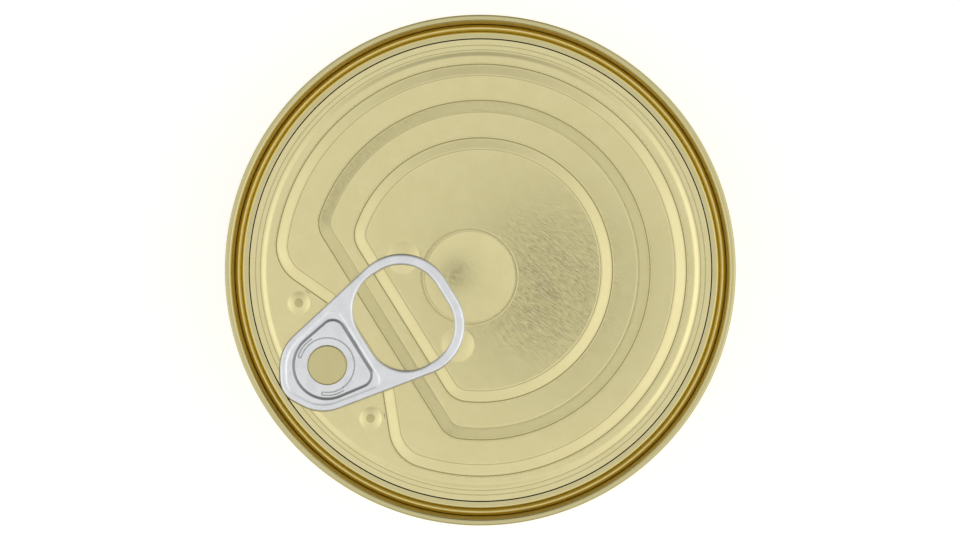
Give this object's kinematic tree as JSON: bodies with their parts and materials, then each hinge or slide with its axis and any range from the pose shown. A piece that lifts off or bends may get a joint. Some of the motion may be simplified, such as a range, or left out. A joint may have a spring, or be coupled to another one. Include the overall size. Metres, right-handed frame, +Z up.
{
  "type": "ring-pull food can",
  "caption": "Shallow round food can, shut, with a double-seamed gold lacquered lid, pressed beads and a riveted aluminium ring-pull tab.",
  "frame": {"origin": "centre of the foot ring, on the ground plane", "axes": "+Z up through the middle of the lid, -Y towards the nose of the pull tab, +X across it"},
  "size_m": [0.087, 0.087, 0.04],
  "materials": {
    "lacquered_body": "gold lacquer over satin tinplate",
    "lacquered_lid": "gold lacquer over satin tinplate with a fine rolled grain",
    "tab_metal": "bare satin aluminium with fine scratches"
  },
  "bodies": {
    "root": {"can_body": "lacquered_body", "can_end": "lacquered_lid", "pull_tab": "tab_metal"}
  },
  "joints": []
}
